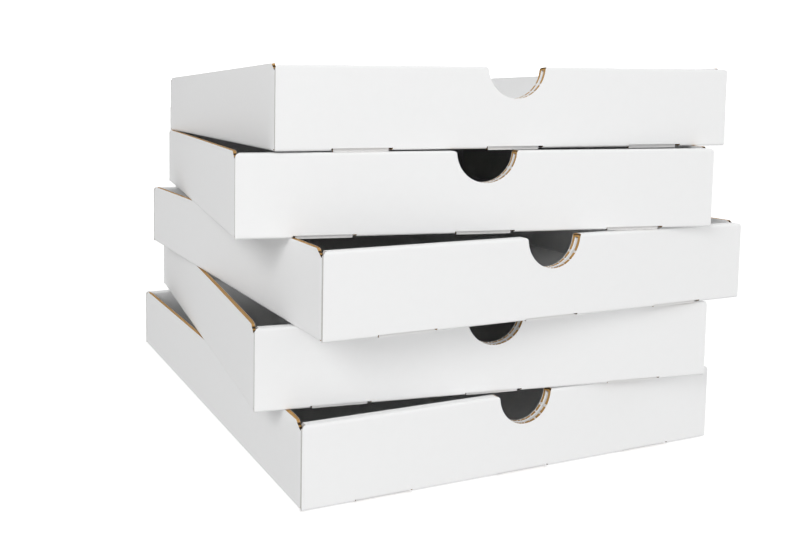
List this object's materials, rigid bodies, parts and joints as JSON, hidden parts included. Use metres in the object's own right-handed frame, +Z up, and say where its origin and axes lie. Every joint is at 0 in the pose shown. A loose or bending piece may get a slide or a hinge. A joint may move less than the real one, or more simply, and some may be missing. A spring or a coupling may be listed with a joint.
{
  "type": "stack of cardboard drawers",
  "caption": "Stack of shallow white corrugated drawer trays lying askew, each a folded sheet with rolled front and back walls, lock tabs and a half-round finger notch.",
  "frame": {"origin": "on the floor under the middle of the stack's outline", "axes": "+Z up, fronts with the finger notches face -Y, +X to the right seen from the front"},
  "size_m": [0.4164, 0.4418, 0.2885],
  "materials": {
    "white_lined_board": "matt"
  },
  "bodies": {
    "root": {"bottom_drawer": "white_lined_board", "second_drawer": "white_lined_board", "third_drawer": "white_lined_board", "fourth_drawer": "white_lined_board", "top_drawer": "white_lined_board"}
  },
  "joints": []
}
